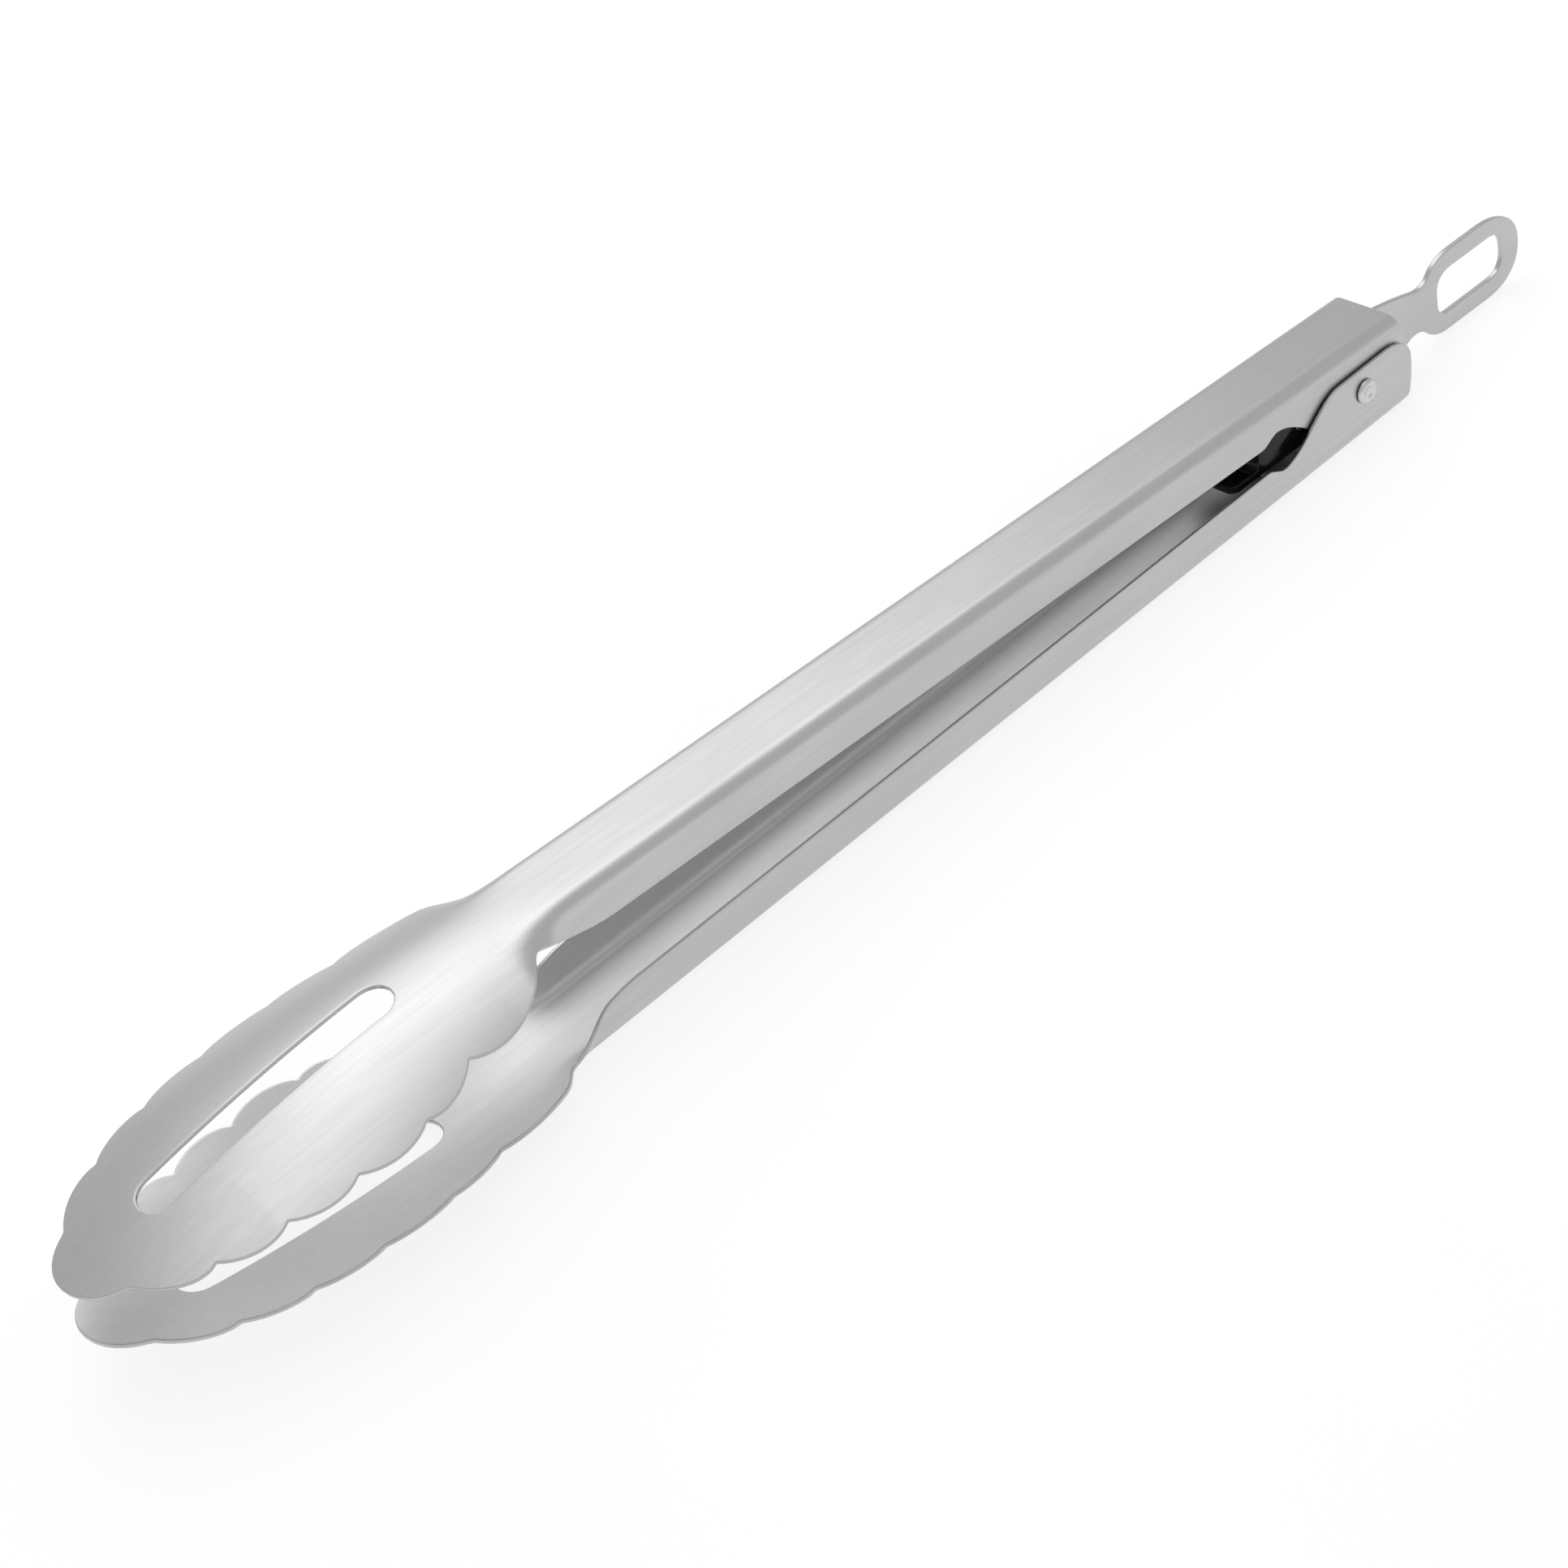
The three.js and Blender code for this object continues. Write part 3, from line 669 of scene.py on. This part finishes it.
def nylon(name):
    """Glossy black moulding with faint flow marks and fine dust-like grain."""
    material, tree, shader, place = new_material(name, 0.0)
    flow = noise(tree, place, 220.0, (4, 1, 2), 2.0)
    fine = noise(tree, place, 5200.0, (1, 1, 1), 2.0)
    tree.links.new(ramp(tree, flow, (0.0035,) * 3, (0.006,) * 3), shader.inputs["Base Color"])
    tree.links.new(to_range(tree, flow, 0.12, 0.2), shader.inputs["Roughness"])
    tree.links.new(bump(tree, fine, 4e-6, 0.4), shader.inputs["Normal"])
    shader.inputs["Specular IOR Level"].default_value = 0.2
    shader.inputs["Coat Weight"].default_value = 0.1
    shader.inputs["Coat Roughness"].default_value = 0.06
    return material


def floor_material():
    material, tree, shader, place = new_material("pale_floor", 0.0)
    mottle = noise(tree, place, 4.0)
    tree.links.new(ramp(tree, mottle, (0.21,) * 3, (0.23,) * 3), shader.inputs["Base Color"])
    shader.inputs["Roughness"].default_value = 0.9
    shader.inputs["Specular IOR Level"].default_value = 0.1
    shader.inputs["Emission Color"].default_value = (1, 1, 1, 1)
    shader.inputs["Emission Strength"].default_value = 0.8
    return material


ARM_STEEL = steel("brushed_arm_steel", ((0.485, 0.486, 0.488), (0.545, 0.546, 0.548)), (0.25, 0.30), 900.0, 2.5e-6,
                  brushed=0.8)
# The arms' inner faces: the same steel painted much lighter than the outside, painted light for the inside of the
# channels, and left rougher and unbrushed.
ARM_INSIDE_PAINTED_LIGHT = steel("arm_inside_painted_light", ((0.70, 0.701, 0.703), (0.76, 0.761, 0.763)), (0.50, 0.58), 900.0, 2.5e-6)
LOOP_STEEL = steel("satin_loop_steel", ((0.46, 0.461, 0.463), (0.53, 0.531, 0.533)), (0.26, 0.34), 1500.0, 6e-6)
RIVET_STEEL = steel("polished_pin_steel", ((0.56, 0.561, 0.563), (0.64, 0.641, 0.643)), (0.18, 0.28), 1800.0, 6e-6,
                    (1, 1, 1))
WIRE_STEEL = steel("drawn_spring_wire", ((0.50, 0.502, 0.505), (0.62, 0.622, 0.625)), (0.22, 0.34), 2500.0, 6e-6,
                   (4, 4, 4))
BLACK_NYLON = nylon("black_nylon")


def settle(piece, slot, body, *nodes):
    """Hides the CAD nodes a piece stands for and sets it on its body; slot is not used."""
    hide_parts(*nodes)
    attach(piece, body)


# ---- the lock slider ----
def rounded_plan(inset, back, steps=10):
    """The slider's plan, seen from above: square at the back and rounded in front."""
    front, half = SLIDER_FRONT + inset, SLIDER_HALF - inset
    corner = SLIDER_CORNER - inset
    points = [(back, -half), (back, half)]
    for sign, first in ((1, math.pi / 2), (-1, math.pi)):
        for k in range(steps + 1):
            angle = first + math.pi / 2 * k / steps
            points.append((front + corner + corner * math.cos(angle),
                           sign * (half - corner) + corner * math.sin(angle)))
    return points


def prism(name, outline, low, high, lift):
    """A solid of constant section: lift turns (u, v, w) into x, y, z, with w from low to high."""
    count = len(outline)
    points = [lift(u, v, w) for w in (low, high) for u, v in outline]
    faces = [list(range(count))[::-1], list(range(count, 2 * count))]
    faces += [[i, (i + 1) % count, count + (i + 1) % count, count + i] for i in range(count)]
    mesh = bpy.data.meshes.new(name)
    mesh.from_pydata(points, [], faces)
    return finished(name, mesh)


def upright(u, v, w):
    return (u, v, w)


def sideways(u, v, w):
    return (u, w, v)


def lock_slider(matrix):
    body = prism("slider", rounded_plan(0, SLIDER_BACK), SLIDER_BOTTOM, BLOCK_TOP, upright)
    ramp_line = bezier((TRAY_END, TRAY_RIM), (TRAY_END + 0.002, TRAY_RIM), (BLOCK_START - 0.002, BLOCK_TOP),
                       (BLOCK_START, BLOCK_TOP), 14)
    past_top = BLOCK_TOP + CUT_MARGIN
    past_front, past_back = SLIDER_FRONT - CUT_MARGIN, SLIDER_BACK + CUT_MARGIN
    above = [(past_front, TRAY_RIM), (TRAY_END, TRAY_RIM), *ramp_line, (BLOCK_START, past_top),
             (past_front, past_top)]
    cut(body, prism("above", above, -WHOLE_WIDTH, WHOLE_WIDTH, sideways))
    cut(body, prism("tray", rounded_plan(TRAY_WALL, TRAY_END), TRAY_FLOOR, past_top, upright))
    groove = [(GROOVE_FRONT, GROOVE_FLOOR), (past_back, GROOVE_FLOOR), (past_back, past_top),
              (GROOVE_FRONT, past_top)]
    cut(body, prism("groove", groove, -GROOVE_HALF, GROOVE_HALF, sideways))
    cut(body, round_bar("bore", CROSS_BORE, 4 * SLIDER_HALF, Matrix.Translation((CROSS_AT, 0, 0)), 32))
    soften(body, SLIDER_ROUNDING)
    body.data.transform(matrix)
    body.data.materials.append(BLACK_NYLON)
    return body


def soften(piece, width):
    """Rounds every crisp edge, as a moulding has it."""
    bevel = piece.modifiers.new("soften", "BEVEL")
    bevel.width = width
    bevel.segments = 4
    bevel.limit_method = "ANGLE"
    bevel.angle_limit = math.radians(35)
    apply_modifiers(piece)
    piece.data.polygons.foreach_set("use_smooth", [True] * len(piece.data.polygons))
    piece.data.set_sharp_from_angle(angle=SHARP_EDGE)


# ---- torsion springs ----
def spring_path(side, straight=10, per_turn=40):
    """Points along the wire's centre: lower leg, coil, upper leg, relative to the hinge axis."""
    low_z, high_z = SPRING_LOW - HINGE.z, SPRING_HIGH - HINGE.z

    def tangent(z, sign):
        reach = math.hypot(REACH, z)
        return math.atan2(z, REACH) - sign * math.acos(COIL / reach)

    low, high = tangent(low_z, -1), tangent(high_z, 1) + 2 * math.pi * TURNS

    def coil(t):
        angle = lerp(low, high, t)
        y = side * (COIL_SIDE + t * TURNS * PITCH)
        return Vector((COIL * math.cos(angle), y, COIL * math.sin(angle)))

    steps = per_turn * TURNS
    points = [Vector((REACH, coil(0).y, low_z)).lerp(coil(0), k / straight) for k in range(straight)]
    points += [coil(k / steps) for k in range(steps + 1)]
    points += [coil(1).lerp(Vector((REACH, coil(1).y, high_z)), k / straight) for k in range(1, straight + 1)]
    return points


def tube(name, path, radius, matrix, sides=14):
    """A round wire along path, with domed ends."""
    skin = Skin()
    frames = []
    normal = Vector((0, 1, 0))
    for i, point in enumerate(path):
        tangent = (path[min(i + 1, len(path) - 1)] - path[max(i - 1, 0)]).normalized()
        normal = (normal - tangent * normal.dot(tangent)).normalized()
        frames.append((point, tangent, normal, tangent.cross(normal)))
    rings = []
    for i, (point, tangent, u, v) in enumerate(frames):
        domes = [(0.0, 0.0)]
        if i in (0, len(frames) - 1):
            sign = -1 if i == 0 else 1
            domes = [(sign * 0.4 * radius * math.sin(t), 1 - math.cos(t)) for t in (0, 0.5, 1.0, math.pi / 2)]
            domes = domes[::-1] if i == 0 else domes
        for shift, narrowing in domes:
            r = radius * (1 - narrowing)
            centre = point + tangent * shift
            rings.append([centre + (u * math.cos(a) + v * math.sin(a)) * r
                          for a in (2 * math.pi * (k % sides) / sides for k in range(sides + 1))])
    skin.grid(rings)
    return skin.piece(name, matrix, (WIRE_STEEL,))


# ---- everything in place ----
at_hinge = Matrix.Translation(HINGE)
upper_frame = at_hinge @ Matrix.Rotation(OPEN_ANGLE, 4, "Y")
lower_frame = at_hinge @ Matrix.Rotation(math.pi, 4, "X")
slide_frame = at_hinge @ Matrix.Rotation(PLATE_TILT, 4, "Y")

settle(arm("arm_below", LOWER_HALF, lower_frame), "arm_steel", "lower", "lower_arm")
settle(arm("arm_above", UPPER_HALF, upper_frame), "arm_steel", "upper", "upper_arm")
settle(hinge_rivet(at_hinge), "rivet_steel", "lower", "hinge_rivet")
settle(hinge_sleeve(at_hinge), "rivet_steel", "lower", "hinge_sleeve")
settle(slider_pin(slide_frame), "rivet_steel", "lock", "slider_pin")
settle(lock_plate(slide_frame), "loop_steel", "lock", "lock_plate")
settle(lock_slider(slide_frame), "black_nylon", "lock", "lock_slider")


def spring(name, side, node_name):
    """A torsion spring's wire with its lower and upper leg, baked into place and set on no body."""
    piece = tube(name, spring_path(side), WIRE / 2, at_hinge)
    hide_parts(node_name)
    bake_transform(piece)


spring("torsion_spring_left", 1, "spring_left")
spring("torsion_spring_right", -1, "spring_right")


# ---- floor, lights and camera ----
def stage_floor():
    mesh = bpy.data.meshes.new("floor")
    mesh.from_pydata([(-6, -6, 0), (6, -6, 0), (6, 6, 0), (-6, 6, 0)], [], [(0, 1, 2, 3)])
    floor = bpy.data.objects.new("floor", mesh)
    floor.data.materials.append(floor_material())
    bpy.context.scene.collection.objects.link(floor)
    floor.location.z = -0.0002


def softbox(name, place, aim, size, watts):
    """A square area light that is brightest in the middle and fades to nothing at its edge."""
    light = bpy.data.lights.new(name, "AREA")
    light.shape = "SQUARE"
    light.size = size
    light.energy = watts
    light.use_nodes = True
    tree = light.node_tree
    across = tree.nodes.new("ShaderNodeNewGeometry").outputs["Parametric"]
    distance = node(tree, "ShaderNodeVectorMath")
    distance.operation = "DISTANCE"
    distance.inputs[1].default_value = (0.5, 0.5, 0.0)
    tree.links.new(across, distance.inputs[0])
    fade = tree.nodes.new("ShaderNodeMapRange")
    fade.interpolation_type = "SMOOTHSTEP"
    fade.inputs["From Min"].default_value = 0.5
    fade.inputs["From Max"].default_value = 0.15
    tree.links.new(distance.outputs["Value"], fade.inputs["Value"])
    tree.links.new(fade.outputs["Result"], tree.nodes["Emission"].inputs["Strength"])
    lamp = bpy.data.objects.new(name, light)
    bpy.context.scene.collection.objects.link(lamp)
    lamp.location = place
    lamp.rotation_euler = (Vector(aim) - Vector(place)).to_track_quat("-Z", "Y").to_euler()


def studio():
    """Even white surroundings, with a large softbox behind the tongs and a weaker one overhead."""
    world = bpy.data.worlds.new("studio")
    bpy.context.scene.world = world
    world.use_nodes = True
    world.node_tree.nodes["Background"].inputs["Color"].default_value = (1, 1, 1, 1)
    world.node_tree.nodes["Background"].inputs["Strength"].default_value = 0.7
    bpy.context.scene.view_settings.view_transform = "Standard"
    softbox("back_softbox", (0.44, 0.82, 1.16), (0, 0, 0), 1.85, 11.5)
    softbox("top_softbox", (0.1, 0.14, 1.4), (-0.22, 0, 0), 1.6, 6.6)


LENS = 76.3                       # on a 36 mm sensor
CAMERA_FROM_HINGE = Vector((-0.5082, -0.4893, 0.4769))
CAMERA_RIGHT = Vector((0.7133, -0.6681, -0.2117))
CAMERA_UP = Vector((0.5580, 0.3586, 0.7484))


def camera():
    data = bpy.data.cameras.new("camera")
    data.lens = LENS
    data.sensor_width = 36
    data.clip_start, data.clip_end = 0.01, 50
    lens = bpy.data.objects.new("camera", data)
    bpy.context.scene.collection.objects.link(lens)
    right = CAMERA_RIGHT.normalized()
    up = (CAMERA_UP - right * CAMERA_UP.dot(right)).normalized()
    back = right.cross(up)
    turn = Matrix((right, up, back)).transposed().to_4x4()
    lens.matrix_world = Matrix.Translation(HINGE + CAMERA_FROM_HINGE) @ turn
    bpy.context.scene.camera = lens


stage_floor()
studio()
camera()
